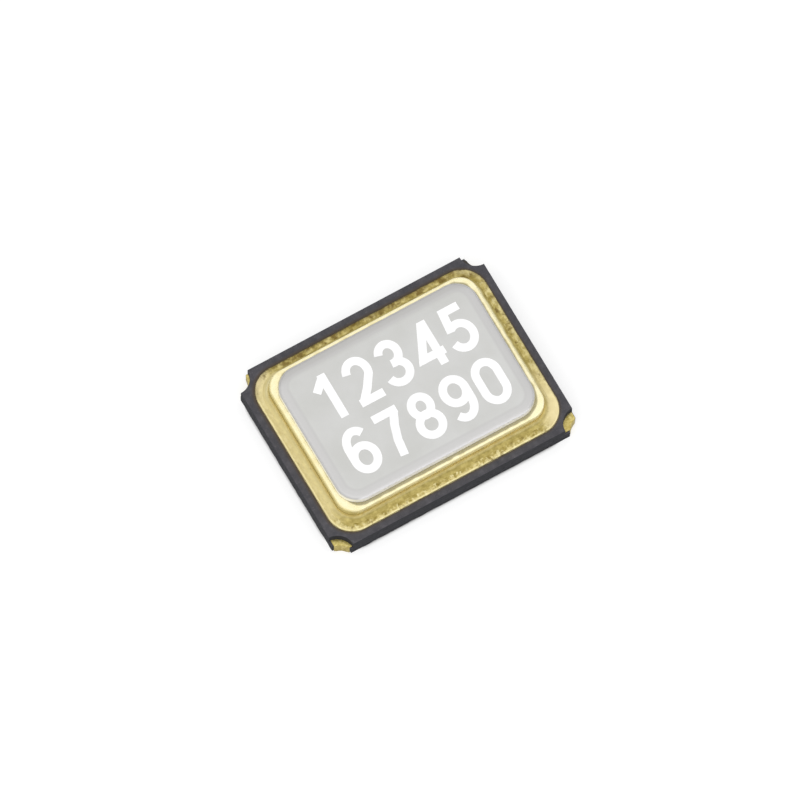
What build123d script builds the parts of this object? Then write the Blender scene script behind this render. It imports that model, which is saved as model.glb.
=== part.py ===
"""Crystal oscillator in a surface-mount ceramic package with a seam-welded metal lid.

Millimetres. The origin is at the centre of the footprint on the solder plane, X runs
along the long side (the way the marking reads), Y across it and Z up through the lid.
"""
import os

from build123d import *

# Ceramic body: two sheets fired into one piece
body_length = 3.20
body_width = 2.44
base_sheet = 0.15
frame_sheet = 0.13

# Quarter-round notches punched through the corners of each sheet. The punching of the
# base sheet lies a little off that of the frame sheet.
base_notch = 0.165
frame_notch = 0.205
punch_slip_x = 0.02
punch_slip_y = -0.035

# Printed conductors
land_length = 1.00
land_width = 0.80
land_corner = 0.06
land_inset = 0.05
land_thickness = 0.02
index_cut_width = 0.22
plating = 0.012
plating_setback = 0.025
film = 0.01
trace_width = 0.12
ledge_overlap = 0.05
trace_edge_distance = 0.19
via_radius = 0.045
via_collar = 0.09

# Amplifier chip, face down on gold bumps
chip_length = 1.00
chip_width = 0.80
chip_thickness = 0.10
chip_offset_x = 0.14
chip_clearance = 0.15
cavity_corner = 0.10
bump_pitch = 0.30
bump_edge_margin = 0.10
bump_radius = 0.036
bump_bulge = 0.008
bump_height = 0.022
bump_pad = 0.16

# Seal: printed frame, braze, ring and lid
seal_margin = 0.10
seal_corner = 0.32
seal_thickness = 0.02
ring_margin = 0.152
ring_corner = 0.22
ring_wall = 0.20
ring_inner_corner = 0.14
ring_height = 0.17
ring_edge = 0.035
braze_thickness = 0.02
braze_reach = 0.075
braze_rise = 0.08
braze_lip = 0.006
lid_margin = 0.066
lid_corner = 0.27
lid_thickness = 0.12
lid_border = 0.14
lid_slope = 0.022
lid_edge = 0.03

# Quartz blank on two dots of conductive adhesive
quartz_thickness = 0.07
quartz_gap = 0.12
quartz_free_gap = 0.28
quartz_side_gap = 0.118
quartz_chamfer = 0.07
mount_inset_x = 0.17
mount_inset_y = 0.22
mount_pad = 0.36
dot_radius = 0.13
dot_bulge = 0.012
dot_height = 0.03
electrode_end_gap = 0.448
electrode_side_gap = 0.22
electrode_corner = 0.12
electrode_film = 0.005
electrode_tab = 0.24

# Levels, from the solder plane up
ceramic_bottom = land_thickness
floor_level = ceramic_bottom + base_sheet
ledge_level = floor_level + frame_sheet
seal_top = ledge_level + seal_thickness
braze_top = seal_top + braze_thickness
ring_top = braze_top + ring_height
lid_top = ring_top + lid_thickness

# Outlines that follow from the driving sizes
plated_notch = base_notch - plating
seal_length = body_length - 2 * seal_margin
seal_width = body_width - 2 * seal_margin
ring_length = seal_length - 2 * ring_margin
ring_width = seal_width - 2 * ring_margin
window_length = ring_length - 2 * ring_wall
window_width = ring_width - 2 * ring_wall
lid_length = ring_length - 2 * lid_margin
lid_width = ring_width - 2 * lid_margin
cavity_length = chip_length + 2 * chip_clearance
cavity_width = chip_width + 2 * chip_clearance

# Crystal mounting places
quartz_length = window_length - quartz_gap - quartz_free_gap
quartz_width = window_width - 2 * quartz_side_gap
quartz_end = quartz_gap - window_length / 2
quartz_center_x = quartz_end + quartz_length / 2
electrode_length = quartz_length - 2 * electrode_end_gap
electrode_width = quartz_width - 2 * electrode_side_gap
mount_x = quartz_end + mount_inset_x
mount_y = quartz_width / 2 - mount_inset_y
dot_bottom = ledge_level + film
dot_top = dot_bottom + dot_height
quartz_bottom = dot_top + electrode_film
quartz_top = quartz_bottom + quartz_thickness

os.makedirs("parts", exist_ok=True)


def corner_of_body(side_x, side_y):
    return (side_x * body_length / 2, side_y * body_width / 2)


def punch_center(side_x, side_y):
    x, y = corner_of_body(side_x, side_y)
    return (x + punch_slip_x, y + punch_slip_y)


def bump_place(column, side_y):
    return (chip_offset_x + column * bump_pitch, side_y * (chip_width / 2 - bump_edge_margin))


# Terminals: each is one conductor, from the land on the underside up the corner notch,
# over its ledge and in between the sheets to a pad under the chip
terminals = []
terminal_corners = {
    "terminal_enable": (-1, -1),
    "terminal_ground": (1, -1),
    "terminal_output": (1, 1),
    "terminal_supply": (-1, 1),
}
for name, (side_x, side_y) in terminal_corners.items():
    corner_x, corner_y = corner_of_body(side_x, side_y)
    land_x = corner_x - side_x * (land_inset + land_length / 2)
    land_y = corner_y - side_y * (land_inset + land_width / 2)
    chip_pad = bump_place(0 if side_x < 0 else 1, side_y)
    with BuildPart() as terminal:
        with BuildSketch(Plane.XY):
            with Locations((land_x, land_y)):
                RectangleRounded(land_length, land_width, land_corner)
            if name == "terminal_enable":
                inner_x = land_x - side_x * land_length / 2
                inner_y = land_y - side_y * land_width / 2
                with BuildLine():
                    Polyline(
                        (inner_x + side_x * index_cut_width, inner_y),
                        (inner_x, inner_y + side_y * index_cut_width),
                        (inner_x, inner_y),
                        close=True,
                    )
                make_face(mode=Mode.SUBTRACT)
            with Locations(punch_center(side_x, side_y)):
                Circle(plated_notch, mode=Mode.SUBTRACT)
        extrude(amount=land_thickness)
        with BuildSketch(Plane.XY.offset(ceramic_bottom)):
            with Locations(punch_center(side_x, side_y)):
                Circle(base_notch)
                Circle(plated_notch, mode=Mode.SUBTRACT)
            Rectangle(
                body_length - 2 * plating_setback,
                body_width - 2 * plating_setback,
                mode=Mode.INTERSECT,
            )
        extrude(amount=base_sheet)
        with BuildSketch(Plane.XY.offset(floor_level)):
            with Locations((corner_x, corner_y)):
                Circle(frame_notch + ledge_overlap)
            trace_x = corner_x - side_x * trace_edge_distance
            trace_y = corner_y - side_y * trace_edge_distance
            with BuildLine():
                Polyline(
                    (corner_x, corner_y),
                    (trace_x, trace_y),
                    (chip_pad[0], trace_y),
                    chip_pad,
                )
            trace(line_width=trace_width)
            with Locations(chip_pad):
                Rectangle(bump_pad, bump_pad)
            Rectangle(
                body_length - 2 * plating_setback,
                body_width - 2 * plating_setback,
                mode=Mode.INTERSECT,
            )
            with Locations(punch_center(side_x, side_y)):
                Circle(plated_notch, mode=Mode.SUBTRACT)
        extrude(amount=film)
    terminals.append(terminal.part)
    terminal.part.label = name
    export_step(terminal.part, f"parts/{name}.step")

# Crystal leads: from a pad under the chip, through a filled via in the frame sheet, to
# the mounting pad on the ledge
crystal_leads = []
for name, side_y in (("crystal_lead_front", -1), ("crystal_lead_rear", 1)):
    chip_pad = bump_place(-1, side_y)
    mount = (mount_x, side_y * mount_y)
    with BuildPart() as crystal_lead:
        with BuildSketch(Plane.XY.offset(floor_level)):
            with BuildLine():
                Line(chip_pad, mount)
            trace(line_width=trace_width)
            with Locations(chip_pad):
                Rectangle(bump_pad, bump_pad)
            with Locations(mount):
                Circle(via_collar)
        extrude(amount=film)
        with BuildSketch(Plane.XY.offset(floor_level)):
            with Locations(mount):
                Circle(via_radius)
        extrude(amount=frame_sheet)
        with BuildSketch(Plane.XY.offset(ledge_level)):
            with Locations(mount):
                RectangleRounded(mount_pad, mount_pad, land_corner)
        extrude(amount=film)
    crystal_leads.append(crystal_lead.part)
    crystal_lead.part.label = name
    export_step(crystal_lead.part, f"parts/{name}.step")

# Ceramic base: floor sheet and frame sheet with the chip's cavity, fired together round
# the buried conductors
with BuildPart() as ceramic_base:
    with BuildSketch(Plane.XY.offset(ceramic_bottom)):
        Rectangle(body_length, body_width)
        for side_x, side_y in terminal_corners.values():
            with Locations(punch_center(side_x, side_y)):
                Circle(base_notch, mode=Mode.SUBTRACT)
    extrude(amount=base_sheet)
    with BuildSketch(Plane.XY.offset(floor_level)):
        Rectangle(body_length, body_width)
        for side_x, side_y in terminal_corners.values():
            with Locations(corner_of_body(side_x, side_y)):
                Circle(frame_notch, mode=Mode.SUBTRACT)
        with Locations((chip_offset_x, 0)):
            RectangleRounded(cavity_length, cavity_width, cavity_corner, mode=Mode.SUBTRACT)
    extrude(amount=frame_sheet)
    for conductor in terminals + crystal_leads:
        add(conductor, mode=Mode.SUBTRACT)
ceramic_base.part.label = "ceramic_base"
export_step(ceramic_base.part, "parts/ceramic_base.step")

# Amplifier chip and the six gold bumps that it stands on
chip_bottom = floor_level + film + bump_height
with BuildPart() as amplifier_chip:
    with BuildSketch(Plane.XY.offset(chip_bottom)):
        with Locations((chip_offset_x, 0)):
            Rectangle(chip_length, chip_width)
    extrude(amount=chip_thickness)
amplifier_chip.part.label = "amplifier_chip"
export_step(amplifier_chip.part, "parts/amplifier_chip.step")

bump_places = [bump_place(column, side_y) for side_y in (-1, 1) for column in (-1, 0, 1)]
for number, (bump_x, bump_y) in enumerate(bump_places, start=1):
    with BuildPart() as chip_bump:
        with BuildSketch(Plane.XZ.offset(-bump_y)):
            with BuildLine():
                low = (bump_x + bump_radius, floor_level + film)
                high = (bump_x + bump_radius, chip_bottom)
                belly = (low[0] + bump_bulge, (low[1] + high[1]) / 2)
                Polyline((bump_x, low[1]), low, belly, high, (bump_x, high[1]), close=True)
            make_face()
        revolve(axis=Axis((bump_x, bump_y, 0), (0, 0, 1)))
    chip_bump.part.label = f"chip_bump_{number}"
    export_step(chip_bump.part, f"parts/chip_bump_{number}.step")

# Seal frame: printed on the ceramic round the cavity, and plated
with BuildPart() as seal_frame:
    with BuildSketch(Plane.XY.offset(ledge_level)):
        RectangleRounded(seal_length, seal_width, seal_corner)
        RectangleRounded(window_length, window_width, ring_inner_corner, mode=Mode.SUBTRACT)
    extrude(amount=seal_thickness)
seal_frame.part.label = "seal_frame"
export_step(seal_frame.part, "parts/seal_frame.step")

# Braze: the layer under the ring and the hollow fillet that it draws round the ring's
# foot, from a raised step in one sketch and a fillet in its inner corner
with BuildPart() as braze_fillet:
    with BuildSketch(Plane.XY.offset(seal_top)):
        RectangleRounded(
            ring_length + 2 * braze_reach,
            ring_width + 2 * braze_reach,
            ring_corner + braze_reach,
        )
    extrude(amount=braze_lip)
    with BuildSketch(Plane.XY.offset(seal_top)):
        RectangleRounded(
            ring_length + 2 * braze_lip,
            ring_width + 2 * braze_lip,
            ring_corner + braze_lip,
        )
    extrude(amount=braze_rise)
    step_edges = braze_fillet.faces().filter_by(Axis.Z).sort_by(Axis.Z)[1].inner_wires()[0].edges()
    fillet(step_edges, radius=min(braze_reach, braze_rise) - 2 * braze_lip)
    with BuildSketch(Plane.XY.offset(braze_top)):
        RectangleRounded(ring_length, ring_width, ring_corner)
    extrude(amount=ring_height, mode=Mode.SUBTRACT)
    with BuildSketch(Plane.XY.offset(seal_top)):
        RectangleRounded(window_length, window_width, ring_inner_corner)
    extrude(amount=braze_thickness, mode=Mode.SUBTRACT)
braze_fillet.part.label = "braze_fillet"
export_step(braze_fillet.part, "parts/braze_fillet.step")

# Seal ring: stamped, with its outer top edge rolled over
with BuildPart() as seal_ring:
    with BuildSketch(Plane.XY.offset(braze_top)):
        RectangleRounded(ring_length, ring_width, ring_corner)
        RectangleRounded(window_length, window_width, ring_inner_corner, mode=Mode.SUBTRACT)
    extrude(amount=ring_height)
    ring_rim = seal_ring.faces().sort_by(Axis.Z)[-1].outer_wire().edges()
    fillet(ring_rim, radius=ring_edge)
seal_ring.part.label = "seal_ring"
export_step(seal_ring.part, "parts/seal_ring.step")

# Lid: a plate whose border slopes down to a rounded rim
with BuildPart() as lid:
    with BuildSketch(Plane.XY.offset(ring_top)):
        RectangleRounded(lid_length, lid_width, lid_corner)
    extrude(amount=lid_thickness)
    plateau = lid.faces().sort_by(Axis.Z)[-1]
    chamfer(plateau.edges(), length=lid_border, length2=lid_slope, reference=plateau)
    rim_level = lid_top - lid_slope
    lid_rim = lid.edges().filter_by_position(
        Axis.Z, rim_level - lid_slope / 2, rim_level + lid_slope / 2
    )
    fillet(lid_rim, radius=lid_edge)
lid.part.label = "lid"
export_step(lid.part, "parts/lid.step")

# Quartz blank: a thin plate with its corners cut
with BuildPart() as quartz_blank:
    with BuildSketch(Plane.XY.offset(quartz_bottom)):
        with Locations((quartz_center_x, 0)):
            plate = Rectangle(quartz_length, quartz_width)
        chamfer(plate.vertices(), length=quartz_chamfer)
    extrude(amount=quartz_thickness)
quartz_blank.part.label = "quartz_blank"
export_step(quartz_blank.part, "parts/quartz_blank.step")

# Electrodes: a gold film on each face, with a tab to the mounted end
tab_length = quartz_center_x - quartz_end
with BuildPart() as lower_electrode:
    with BuildSketch(Plane.XY.offset(dot_top)):
        with Locations((quartz_center_x, 0)):
            RectangleRounded(electrode_length, electrode_width, electrode_corner)
        with Locations((quartz_end + tab_length / 2, -mount_y)):
            Rectangle(tab_length, electrode_tab)
    extrude(amount=electrode_film)
lower_electrode.part.label = "lower_electrode"
export_step(lower_electrode.part, "parts/lower_electrode.step")

with BuildPart() as upper_electrode:
    with BuildSketch(Plane.XY.offset(quartz_top)):
        with Locations((quartz_center_x, 0)):
            RectangleRounded(electrode_length, electrode_width, electrode_corner)
        with Locations((quartz_end + tab_length / 2, mount_y)):
            Rectangle(tab_length, electrode_tab)
    extrude(amount=electrode_film)
    with BuildSketch(Plane.XY.offset(dot_top)):
        with Locations((quartz_end + mount_inset_x, mount_y)):
            Rectangle(2 * mount_inset_x, electrode_tab)
    extrude(amount=electrode_film)
    with BuildSketch(Plane.XY.offset(dot_top)):
        with Locations((quartz_end - electrode_film / 2, mount_y)):
            Rectangle(electrode_film, electrode_tab)
    extrude(amount=quartz_thickness + 2 * electrode_film)
upper_electrode.part.label = "upper_electrode"
export_step(upper_electrode.part, "parts/upper_electrode.step")

# Conductive adhesive: one dot under each mounted corner of the blank
for name, side_y in (("adhesive_dot_front", -1), ("adhesive_dot_rear", 1)):
    dot_y = side_y * mount_y
    with BuildPart() as adhesive_dot:
        with BuildSketch(Plane.XZ.offset(-dot_y)):
            with BuildLine():
                low = (mount_x + dot_radius, dot_bottom)
                high = (mount_x + dot_radius, dot_top)
                belly = (low[0] + dot_bulge, (dot_bottom + dot_top) / 2)
                Polyline((mount_x, dot_bottom), low, belly, high, (mount_x, dot_top), close=True)
            make_face()
        revolve(axis=Axis((mount_x, dot_y, 0), (0, 0, 1)))
    adhesive_dot.part.label = name
    export_step(adhesive_dot.part, f"parts/{name}.step")
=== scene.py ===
"""Looks of a surface-mount crystal oscillator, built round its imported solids.

Metres, in the frame of the solids: X runs along the long side, Y across it and Z up
through the lid, with the origin on the solder plane.
"""
import math

import bmesh
import bpy
from mathutils import Matrix, Vector, noise


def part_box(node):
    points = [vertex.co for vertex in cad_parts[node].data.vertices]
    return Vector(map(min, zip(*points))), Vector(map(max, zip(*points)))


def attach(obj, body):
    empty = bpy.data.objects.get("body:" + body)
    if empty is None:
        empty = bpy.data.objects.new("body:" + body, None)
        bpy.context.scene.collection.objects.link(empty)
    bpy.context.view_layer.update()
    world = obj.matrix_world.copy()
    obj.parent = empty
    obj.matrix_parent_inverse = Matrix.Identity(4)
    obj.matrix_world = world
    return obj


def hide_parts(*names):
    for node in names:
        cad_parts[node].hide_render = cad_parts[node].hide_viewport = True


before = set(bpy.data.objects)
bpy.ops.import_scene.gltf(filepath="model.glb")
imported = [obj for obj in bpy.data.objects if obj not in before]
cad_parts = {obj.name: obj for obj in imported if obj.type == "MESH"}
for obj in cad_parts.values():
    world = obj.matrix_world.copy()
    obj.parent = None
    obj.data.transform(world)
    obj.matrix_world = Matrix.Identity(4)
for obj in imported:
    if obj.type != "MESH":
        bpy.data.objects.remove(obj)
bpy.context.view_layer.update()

MM = 0.001

# Corners of the package, counter-clockwise seen from above
CORNERS = ((1, 1), (-1, 1), (-1, -1), (1, -1))

# Finish of the meshes: points along a straight side and round a corner
SIDE_STEPS = 150
ARC_STEPS = 20
SMOOTH_BELOW = math.radians(32)

# Sizes that the boxes of the solids don't give
BASE_SHEET = 0.15 * MM
BASE_NOTCH = 0.165 * MM
FRAME_NOTCH = 0.205 * MM
PUNCH_SLIP = Vector((0.02, -0.035)) * MM
PLATING = 0.012 * MM
PLATING_SETBACK = 0.025 * MM
PLATING_SETBACK_SHORT = 0.008 * MM
PRINT_SLIP = Vector((0.006, -0.005)) * MM
FILM = 0.01 * MM
LEDGE_OVERLAP = 0.05 * MM
LAND_LENGTH = 1.00 * MM
LAND_WIDTH = 0.80 * MM
LAND_CORNER = 0.06 * MM
LAND_INSET = 0.05 * MM
INDEX_CUT = 0.22 * MM
TRACE_WIDTH = 0.12 * MM
TRACE_EDGE = 0.19 * MM
CHIP_PAD = 0.16 * MM
BUMP_PITCH = 0.30 * MM
CAVITY = Vector((1.30, 1.10)) * MM
CAVITY_CORNER = 0.10 * MM
SEAL_CORNER = 0.32 * MM
RING_CORNER = 0.22 * MM
RING_WALL = 0.20 * MM
WINDOW_CORNER = 0.14 * MM
LID_CORNER = 0.27 * MM
LID_BORDER = 0.14 * MM
LID_SLOPE = 0.006 * MM
INK = 0.002 * MM


def size_of(node):
    """Length and width of a node, in its box at rest."""
    low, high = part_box(node)
    return Vector((high.x - low.x, high.y - low.y))


BODY = size_of("ceramic_base")
SEAL = size_of("seal_frame")
RING = size_of("seal_ring")
LID = size_of("lid")
WINDOW = RING - 2 * Vector((RING_WALL, RING_WALL))
CHIP_X = (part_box("amplifier_chip")[0].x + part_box("amplifier_chip")[1].x) / 2
BRAZE_REACH = (size_of("braze_fillet").x - RING.x) / 2

CERAMIC_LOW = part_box("ceramic_base")[0].z
FLOOR_LEVEL = CERAMIC_LOW + BASE_SHEET
CERAMIC_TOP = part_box("ceramic_base")[1].z
SEAL_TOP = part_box("seal_frame")[1].z
BRAZE_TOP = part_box("braze_fillet")[1].z
RING_LOW, RING_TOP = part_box("seal_ring")[0].z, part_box("seal_ring")[1].z
LID_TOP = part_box("lid")[1].z


# Outlines: every outline has the same number of points, so any two can be joined

def arc(center, radius, first, last):
    """Points round a center from the direction of one point to that of another."""
    start = math.atan2(first.y - center.y, first.x - center.x)
    turn = math.atan2(last.y - center.y, last.x - center.x) - start
    turn = (turn + math.pi) % (2 * math.pi) - math.pi
    angles = [start + turn * step / ARC_STEPS for step in range(ARC_STEPS + 1)]
    return [center + radius * Vector((math.cos(a), math.sin(a))) for a in angles]


def closed_outline(arcs):
    """Joins four corner arcs by straight stretches."""
    points = []
    for index, corner in enumerate(arcs):
        following = arcs[(index + 1) % len(arcs)][0]
        points.extend(corner)
        points.extend(corner[-1].lerp(following, step / SIDE_STEPS) for step in range(1, SIDE_STEPS))
    return points


def rounded(size, radius, inset=0.0, center=Vector((0, 0))):
    """A rounded rectangle, moved in from its full size by an inset."""
    radius = max(radius - inset, 0.01 * MM)
    half = size / 2 - Vector((inset + radius, inset + radius))
    arcs = []
    for side_x, side_y in CORNERS:
        pivot = center + Vector((side_x * half.x, side_y * half.y))
        on_side = pivot + Vector((side_x, 0))
        on_end = pivot + Vector((0, side_y))
        first, last = (on_side, on_end) if side_x * side_y > 0 else (on_end, on_side)
        arcs.append(arc(pivot, radius, first, last))
    return closed_outline(arcs)


def notch_arc(corner, radius, center, edge):
    """The arc of a corner notch between the two edges of a body, counter-clockwise."""
    side_x, side_y = corner
    edge_x, edge_y = side_x * edge.x, side_y * edge.y
    on_side = Vector((edge_x, center.y - side_y * math.sqrt(radius**2 - (edge_x - center.x) ** 2)))
    on_end = Vector((center.x - side_x * math.sqrt(radius**2 - (edge_y - center.y) ** 2), edge_y))
    first, last = (on_side, on_end) if side_x * side_y > 0 else (on_end, on_side)
    return arc(center, radius, first, last)


def body_corner(corner):
    """The place of one of the body's square corners."""
    return Vector((corner[0] * BODY.x / 2, corner[1] * BODY.y / 2))


def notched(radius, slip=Vector((0, 0)), inset=0.0):
    """The body's outline with a quarter-round notch at each corner."""
    edge = BODY / 2 - Vector((inset, inset))
    return closed_outline(
        [notch_arc(corner, radius + inset, body_corner(corner) + slip, edge) for corner in CORNERS]
    )


def at_level(outline, level):
    """An outline at a height, as a loop."""
    return [Vector((point.x, point.y, level)) for point in outline]


def pushed_in(loop, depth, grain, seed=0.0):
    """Moves the points of a loop in by smooth noise, from nothing to a depth."""
    moved = []
    offset = Vector((seed, seed, seed))
    for before, point, after in zip(loop[-1:] + loop[:-1], loop, loop[1:] + loop[:1]):
        along = after - before
        outward = Vector((along.y, -along.x, 0)).normalized()
        share = 0.5 + 0.5 * noise.noise(point / grain + offset)
        moved.append(point - outward * depth * min(max(share, 0), 1))
    return moved


def lifted(loop, height, grain, seed=0.0):
    """Moves the points of a loop up and down by smooth noise."""
    offset = Vector((seed, seed, seed))
    return [point + Vector((0, 0, height * noise.noise(point / grain + offset))) for point in loop]


class Shell:
    """Points and faces of one piece, gathered from lofts."""

    def __init__(self):
        self.points = []
        self.faces = []

    def loft(self, loops, around=True, closed=False):
        """Joins loops of equal count. Around: each loop closes on itself. Closed: the last
        loop joins the first, and otherwise the ends are capped."""
        first = len(self.points)
        count = len(loops[0])
        for loop in loops:
            self.points.extend(loop)
        rows = len(loops) if closed else len(loops) - 1
        columns = count if around else count - 1
        for row in range(rows):
            here = first + row * count
            there = first + (row + 1) % len(loops) * count
            for column in range(columns):
                after = (column + 1) % count
                self.faces.append((here + column, here + after, there + after, there + column))
        if around and not closed:
            self.faces.append(tuple(range(first, first + count)))
            last = first + (len(loops) - 1) * count
            self.faces.append(tuple(range(last, last + count)))
        if closed and not around:
            for column in (0, count - 1):
                self.faces.append(tuple(first + row * count + column for row in range(len(loops))))

    def plate(self, corners, low, high):
        """A flat plate with a few straight edges."""
        self.loft([at_level(corners, low), at_level(corners, high)])

    def strip(self, start, end, width, low, high):
        """A straight run of printed conductor, with square ends."""
        along = (end - start).normalized() * width / 2
        across = Vector((-along.y, along.x))
        corners = (
            start - along - across,
            end + along - across,
            end + along + across,
            start - along + across,
        )
        self.plate(corners, low, high)

    def piece(self, name, material, slot, *nodes):
        """Makes the object, lets it stand for its nodes and gives it its finish."""
        mesh = bpy.data.meshes.new(name)
        mesh.from_pydata(self.points, [], self.faces)
        shape = bmesh.new()
        shape.from_mesh(mesh)
        bmesh.ops.recalc_face_normals(shape, faces=shape.faces)
        shape.to_mesh(mesh)
        shape.free()
        mesh.polygons.foreach_set("use_smooth", [True] * len(mesh.polygons))
        mesh.set_sharp_from_angle(angle=SMOOTH_BELOW)
        return dressed(bpy.data.objects.new(name, mesh), material, slot, *nodes)


def dressed(made, material, slot, *nodes):
    """Links a new object, gives it its material and lets it stand for its nodes."""
    bpy.context.scene.collection.objects.link(made)
    made.data.materials.clear()
    made.data.materials.append(material)
    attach(made, "root")
    if nodes:
        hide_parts(*nodes)
    return made


# Materials

def srgb(red, green, blue):
    """Linear colour of a display colour given as 0 to 255."""
    def linear(value):
        share = value / 255
        return share / 12.92 if share <= 0.04045 else ((share + 0.055) / 1.055) ** 2.4
    return (linear(red), linear(green), linear(blue), 1.0)


class Finish:
    """A material: one Principled shader whose inputs come from procedural textures. Its
    colour starts from a ground and is then tinted step by step."""

    def __init__(self, name, **constants):
        self.material = bpy.data.materials.new(name)
        self.material.use_nodes = True
        self.tree = self.material.node_tree
        self.shader = self.tree.nodes["Principled BSDF"]
        for socket, value in constants.items():
            self.shader.inputs[socket.replace("_", " ")].default_value = value
        self.place = self.node("ShaderNodeTexCoord").outputs["Object"]

    def node(self, kind, inputs=(), **settings):
        """Adds a node, with each input linked or set."""
        made = self.tree.nodes.new(kind)
        for key, value in settings.items():
            setattr(made, key, value)
        for socket, value in dict(inputs).items():
            if isinstance(value, bpy.types.NodeSocket):
                self.tree.links.new(value, made.inputs[socket])
            else:
                made.inputs[socket].default_value = value
        return made

    def grain(self, size, detail=3.0, stretch=(1, 1, 1), shift=0.0):
        """Smooth noise whose features are about a size across, in metres."""
        scale = tuple(1 / (size * share) for share in stretch)
        mapping = {"Vector": self.place, "Scale": scale, "Location": (shift, shift, shift)}
        spread = self.node("ShaderNodeMapping", mapping).outputs["Vector"]
        texture = {"Vector": spread, "Scale": 1.0, "Detail": detail, "Roughness": 0.55}
        return self.node("ShaderNodeTexNoise", texture).outputs["Fac"]

    def remap(self, value, low, high, to_low=0.0, to_high=1.0):
        """Turns one stretch of values into another, and holds at its ends."""
        inputs = {
            "Value": value,
            "From Min": low,
            "From Max": high,
            "To Min": to_low,
            "To Max": to_high,
        }
        return self.node("ShaderNodeMapRange", inputs, clamp=True).outputs["Result"]

    def math(self, operation, first, *others):
        """One value from one, or from several taken in turn."""
        for other in others or (0.0,):
            inputs = {0: first, 1: other}
            first = self.node("ShaderNodeMath", inputs, operation=operation).outputs[0]
        return first

    def along(self, axis):
        """Place along an axis, in metres."""
        return self.node("ShaderNodeSeparateXYZ", {"Vector": self.place}).outputs[axis]

    def between(self, axis, low, high, to_low=0.0, to_high=1.0):
        """A value that changes along an axis, between two places in millimetres."""
        return self.remap(self.along(axis), low * MM, high * MM, to_low, to_high)

    def outside_of(self, size, radius):
        """Distance out from a rounded rectangle, below nothing inside it."""
        def step(operation, first, second=(0, 0, 0)):
            made = self.node("ShaderNodeVectorMath", {0: first, 1: second}, operation=operation)
            return made.outputs["Vector"]
        flat = step("MULTIPLY", self.place, (1, 1, 0))
        core = (size.x / 2 - radius, size.y / 2 - radius, 0)
        past = step("MAXIMUM", step("SUBTRACT", step("ABSOLUTE", flat), core))
        reach = self.node("ShaderNodeVectorMath", {0: past}, operation="LENGTH").outputs["Value"]
        return self.math("SUBTRACT", reach, radius)

    def mix(self, share, first, second):
        """Two linear colours, blended by a share of the second."""
        made = self.node("ShaderNodeMix", data_type="RGBA")
        for socket, value in zip((0, 6, 7), (share, first, second)):
            if isinstance(value, bpy.types.NodeSocket):
                self.tree.links.new(value, made.inputs[socket])
            else:
                made.inputs[socket].default_value = value
        return made.outputs[2]

    def ground(self, value, *stops):
        """Starts the colour: one for each value, between stops of a value and a display
        colour."""
        ramp = self.node("ShaderNodeValToRGB", {"Fac": value})
        elements = ramp.color_ramp.elements
        while len(elements) < len(stops):
            elements.new(1.0)
        for element, (position, *colour) in zip(elements, stops):
            element.position = position
            element.color = srgb(*colour)
        self.colour = ramp.outputs["Color"]

    def tint(self, share, red, green, blue):
        """Blends the colour so far towards a display colour."""
        self.colour = self.mix(share, self.colour, srgb(red, green, blue))

    def rough(self, value, smooth, coarse):
        """Roughness from the usual low of a noise to its usual high."""
        self.feed("Roughness", self.remap(value, 0.3, 0.7, smooth, coarse))

    def bump(self, height, depth):
        """Adds relief of a depth in metres to what relief there is."""
        inputs = {"Height": height, "Distance": depth, "Strength": 1.0}
        before = self.shader.inputs["Normal"].links
        if before:
            inputs["Normal"] = before[0].from_socket
        self.feed("Normal", self.node("ShaderNodeBump", inputs).outputs["Normal"])

    def feed(self, socket, value):
        """Links a value to a socket of the shader."""
        self.tree.links.new(value, self.shader.inputs[socket])

    def done(self):
        """Gives the shader the colour and returns the material."""
        self.feed("Base Color", self.colour)
        return self.material


def ceramic_side_finish():
    """Snapped and sawn sides of the alumina: rougher than the fired face and darker, the darkness partly
    painted shade on the sides. Painted shade makes them darkest at the foot, and they are dark at the seam of
    the sheets."""
    finish = Finish("ceramic_side", IOR=1.6, Specular_IOR_Level=0.25)
    mottle = finish.grain(0.05 * MM, detail=4, stretch=(2.2, 2.2, 1), shift=31)
    crack = finish.grain(0.02 * MM, detail=3, stretch=(3, 3, 1), shift=19)
    height = finish.along("Z")
    # The side colour is darker than the fired face partly as painted shade on the sides
    finish.ground(mottle, (0.30, 24, 25, 29), (0.55, 36, 37, 42), (0.75, 50, 51, 57))
    # Painted shade at the foot of the sides, with an uneven upper edge
    uneven = finish.remap(mottle, 0.3, 0.7, -0.03 * MM, 0.05 * MM)
    foot = finish.remap(finish.math("ADD", height, uneven), 0.05 * MM, 0.09 * MM, 0.75, 0.0)
    finish.tint(foot, 16, 16, 19)
    seam = finish.math("ABSOLUTE", finish.math("SUBTRACT", height, FLOOR_LEVEL))
    finish.tint(finish.remap(seam, 0.004 * MM, 0.012 * MM, 0.5, 0.0), 26, 26, 30)
    finish.rough(mottle, 0.70, 0.85)
    finish.bump(crack, 0.0020 * MM)
    finish.bump(mottle, 0.0025 * MM)
    return finish.done()


def ceramic_finish():
    """Fired face of the dark alumina: matt, finely grained and browner beside the seal."""
    finish = Finish("ceramic", IOR=1.6, Specular_IOR_Level=0.3)
    mottle = finish.grain(0.09 * MM, detail=4)
    speck = finish.grain(0.018 * MM, detail=2, shift=3)
    finish.ground(mottle, (0.30, 54, 53, 59), (0.55, 68, 67, 72), (0.75, 82, 80, 86))
    finish.tint(finish.remap(speck, 0.60, 0.72, 0.0, 0.35), 112, 108, 112)
    from_seal = finish.outside_of(SEAL, SEAL_CORNER)
    finish.tint(finish.remap(from_seal, 0.004 * MM, 0.034 * MM, 0.85, 0.0), 70, 58, 42)
    finish.rough(mottle, 0.55, 0.70)
    finish.bump(speck, 0.0010 * MM)
    finish.bump(mottle, 0.0015 * MM)
    return finish.done()


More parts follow.
